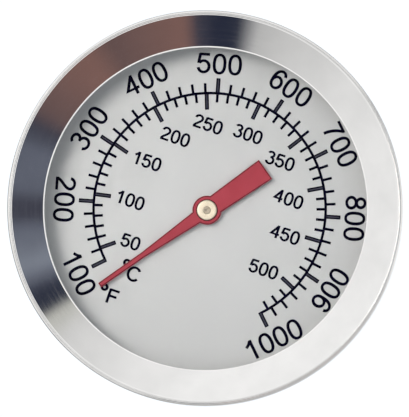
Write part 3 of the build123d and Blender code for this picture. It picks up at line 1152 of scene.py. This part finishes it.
KEY_OFF_AXIS = 27
KEY_CLOCK = 157
KEY_DISTANCE = 0.6
KEY_SIZE = 0.22
KEY_POWER = 1.0
KEY_COLOUR = (1.0, 0.955, 0.90)
FILL_OFF_AXIS = 25
FILL_CLOCK = 345
FILL_DISTANCE = 0.6
FILL_SIZE = 0.3
FILL_POWER = 0.22
FILL_COLOUR = (0.72, 0.86, 1.0)

# where a flat mirror in the head's plane would show the camera
MIRRORED = Vector((-towards_camera.x, towards_camera.y, -towards_camera.z))


def studio_direction(off_axis, clock):
    """A direction from the head: degrees away from the reader's line of sight, and degrees round it."""
    a = math.radians(off_axis)
    c = math.radians(clock)
    sideways = image_right * math.cos(c) + image_up * math.sin(c)
    return towards_camera * math.cos(a) + sideways * math.sin(a)


def area_light(name, off_axis, clock, distance, size, power, colour):
    """A round soft light that faces the head."""
    data = bpy.data.lights.new(name, "AREA")
    data.shape = "DISK"
    data.size = size
    data.energy = power
    data.color = colour
    lamp = bpy.data.objects.new(name, data)
    bpy.context.scene.collection.objects.link(lamp)
    direction = studio_direction(off_axis, clock)
    lamp.location = target + direction * distance
    lamp.rotation_mode = "QUATERNION"
    lamp.rotation_quaternion = direction.to_track_quat("Z", "Y")


area_light("key_light", KEY_OFF_AXIS, KEY_CLOCK, KEY_DISTANCE, KEY_SIZE, KEY_POWER, KEY_COLOUR)
area_light("fill_light", FILL_OFF_AXIS, FILL_CLOCK, FILL_DISTANCE, FILL_SIZE, FILL_POWER, FILL_COLOUR)

# The dish mirrors a ring of cards in front of it, each part of it the card at the ring's far side.
RING_R = 0.35
RING_INNER = 46
RING_OUTER = 66
# white bands inside and outside the coloured one, which the lip and the bead mirror
INNER_BAND = (10, RING_INNER - 1)
OUTER_BAND = (RING_OUTER + 1, 84)
RING_STEPS = 180
RING_UNEVEN = 5.0  # how far the borders between the colours wander, in degrees
RING_NOISE_SCALE = 14
RING_NOISE_DETAIL = 4
DEEP_NAVY = (0.022, 0.027, 0.050)
NAVY = (0.050, 0.052, 0.075)
BROWN = (0.228, 0.126, 0.110)
DARK_BROWN = (0.140, 0.090, 0.088)
SLATE = (0.118, 0.130, 0.172)
PALE_SLATE = (0.225, 0.250, 0.305)
RING_STOPS = (  # (where on the dish it shows, in degrees anticlockwise from the picture's right, colour)
    (0, grey(0.93)),
    (30, grey(0.86)),
    (45, grey(0.77)),
    (60, grey(0.66)),
    (70.5, grey(0.54)),
    (75.5, DEEP_NAVY),
    (85, DEEP_NAVY),
    (90, NAVY),
    (94, BROWN),
    (118, DARK_BROWN),
    (127, BROWN),
    (150, DARK_BROWN),
    (155, NAVY),
    (163, SLATE),
    (175, SLATE),
    (180, NAVY),
    (185, NAVY),
    (190, SLATE),
    (200, PALE_SLATE),
    (206, SLATE),
    (210, DEEP_NAVY),
    (215, DEEP_NAVY),
    (219, (0.56, 0.56, 0.52)),
    (226, grey(0.70)),
    (245, grey(0.88)),
    (270, grey(0.99)),
    (300, grey(1.0)),
    (360, grey(0.93)),
)


def ring_band(name, inner, outer, material):
    """A band of cards round the reader's line of sight, from one angle away from it to another."""
    points = []
    faces = []
    for row, off_axis in enumerate((inner, (inner + outer) / 2, outer)):
        a = math.radians(off_axis)
        for step in range(RING_STEPS):
            c = 2 * math.pi * step / RING_STEPS
            reach = RING_R / MM * math.sin(a)
            points.append((reach * math.cos(c), reach * math.sin(c), RING_R / MM * math.cos(a)))
            after = (step + 1) % RING_STEPS
            if row > 0:
                near = (row - 1) * RING_STEPS
                far = row * RING_STEPS
                faces.append((near + step, near + after, far + after, far + step))
    ring = make_object(name, points, faces)
    level = (image_right - MIRRORED * image_right.dot(MIRRORED)).normalized()
    place = Matrix((level, MIRRORED.cross(level), MIRRORED)).transposed().to_4x4()
    place.translation = target
    ring.matrix_world = place
    ring.data.materials.append(material)
    only_in_reflections(ring)


def ring_colours():
    """Light in the colours of RING_STOPS, set by where the dish mirrors them, with uneven borders."""
    material = emitter("ring_cards", (1, 1, 1))
    tree = material.node_tree
    coordinates = tree.nodes.new("ShaderNodeTexCoord")
    clock = tree.nodes.new("ShaderNodeTexGradient")
    clock.gradient_type = "RADIAL"
    ramp = tree.nodes.new("ShaderNodeValToRGB")
    paint_ramp(ramp.color_ramp, [(angle / 360, colour) for angle, colour in RING_STOPS])
    tree.links.new(coordinates.outputs["Object"], clock.inputs["Vector"])
    blur = tree.nodes.new("ShaderNodeTexNoise")
    blur.inputs["Scale"].default_value = RING_NOISE_SCALE
    blur.inputs["Detail"].default_value = RING_NOISE_DETAIL
    tree.links.new(coordinates.outputs["Object"], blur.inputs["Vector"])
    uneven = tree.nodes.new("ShaderNodeMapRange")
    uneven.inputs["To Min"].default_value = -RING_UNEVEN / 360
    uneven.inputs["To Max"].default_value = RING_UNEVEN / 360
    tree.links.new(blur.outputs["Fac"], uneven.inputs["Value"])
    moved = tree.nodes.new("ShaderNodeMath")
    tree.links.new(clock.outputs["Fac"], moved.inputs[0])
    tree.links.new(uneven.outputs["Result"], moved.inputs[1])
    tree.links.new(moved.outputs["Value"], ramp.inputs["Fac"])
    tree.links.new(ramp.outputs["Color"], tree.nodes["Emission"].inputs["Color"])
    return material


ring_band("reflection_ring", RING_INNER, RING_OUTER, ring_colours())
ring_band("inner_band", *INNER_BAND, emitter("inner_band", grey(0.85)))
ring_band("outer_band", *OUTER_BAND, emitter("outer_band", grey(1.05)))


def card(name, direction, distance, width, height, colour, through_glass=False):
    """A flat card that faces the head."""
    w = width / MM / 2
    h = height / MM / 2
    made = make_object(name, [(-w, -h, 0), (w, -h, 0), (w, h, 0), (-w, h, 0)], [(0, 1, 2, 3)])
    turn = direction.to_track_quat("Z", "Y").to_matrix().to_4x4()
    turn.translation = target + direction * distance
    made.matrix_world = turn
    made.data.materials.append(emitter(name, colour))
    only_in_reflections(made, through_glass)


card("reader_card", MIRRORED, distance=1.3, width=0.15, height=0.15, colour=grey(0.02), through_glass=True)
card("side_card_right", studio_direction(125, 0), distance=0.7, width=0.22, height=1.2, colour=grey(0.30))
card("side_card_left", studio_direction(125, 180), distance=0.7, width=0.30, height=1.2, colour=grey(0.12))
card("rear_card_high", studio_direction(150, 60), distance=0.8, width=0.9, height=0.25, colour=grey(0.12))
card("rear_card_low", studio_direction(160, 250), distance=0.8, width=0.5, height=0.16, colour=grey(0.05))

bpy.context.scene.view_settings.view_transform = "Standard"
bpy.context.scene.view_settings.look = "None"
